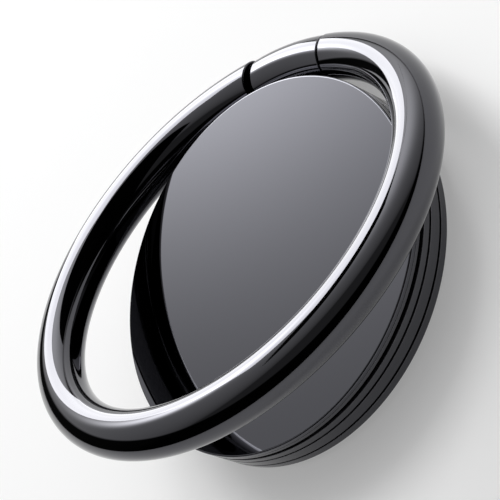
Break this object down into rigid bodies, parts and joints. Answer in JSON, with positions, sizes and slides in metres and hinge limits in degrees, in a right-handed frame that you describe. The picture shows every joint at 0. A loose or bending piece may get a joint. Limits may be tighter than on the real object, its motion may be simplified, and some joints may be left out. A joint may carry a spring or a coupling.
{
  "type": "phone ring holder",
  "caption": "Stick-on phone ring holder: a low swivelling disc with a dark mirror face and a round finger ring hinged at its rim, for holding or propping a telephone.",
  "frame": {"origin": "centre of the sticky underside of the foam pad", "axes": "+Z out of the telephone along the disc's axis, +Y from the disc's axis to the hinge, X along the hinge pin"},
  "size_m": [0.0384, 0.0364, 0.0158],
  "materials": {
    "foam": "matte closed-cell foam",
    "polished_wall": "turned, polished and plated with black nickel",
    "black_mirror": "black mirror polish",
    "black_nickel": "polished black nickel plate",
    "plain_steel": "bright drawn steel",
    "slip_film": "dark low-friction film",
    "bonding_film": "dark bonding film",
    "black_nylon": "moulded nylon"
  },
  "bodies": {
    "base": {"adhesive_pad": "foam", "base_plate": "polished_wall", "swivel_rivet": "plain_steel", "slip_washer": "slip_film", "retaining_washer": "plain_steel"},
    "turntable": {"turntable": "polished_wall", "disc_spring": "plain_steel", "cap": "polished_wall", "face_film": "bonding_film", "face_plate": "black_mirror", "friction_sleeve": "plain_steel"},
    "ring": {"finger_ring": "black_nickel", "hinge_pin": "plain_steel", "hinge_washer_left": "black_nylon", "hinge_washer_right": "black_nylon"}
  },
  "joints": [
    {"name": "swivel", "type": "hinge", "parent": "base", "child": "turntable", "pos_m": [0, 0, 0.0023], "axis": [0, 0, 1], "continuous": true},
    {"name": "ring_flip", "type": "hinge", "parent": "turntable", "child": "ring", "pos_m": [0, 0.01775, 0.00236], "axis": [-1, 0, 0], "range_deg": [-19.6, 160.4]}
  ]
}
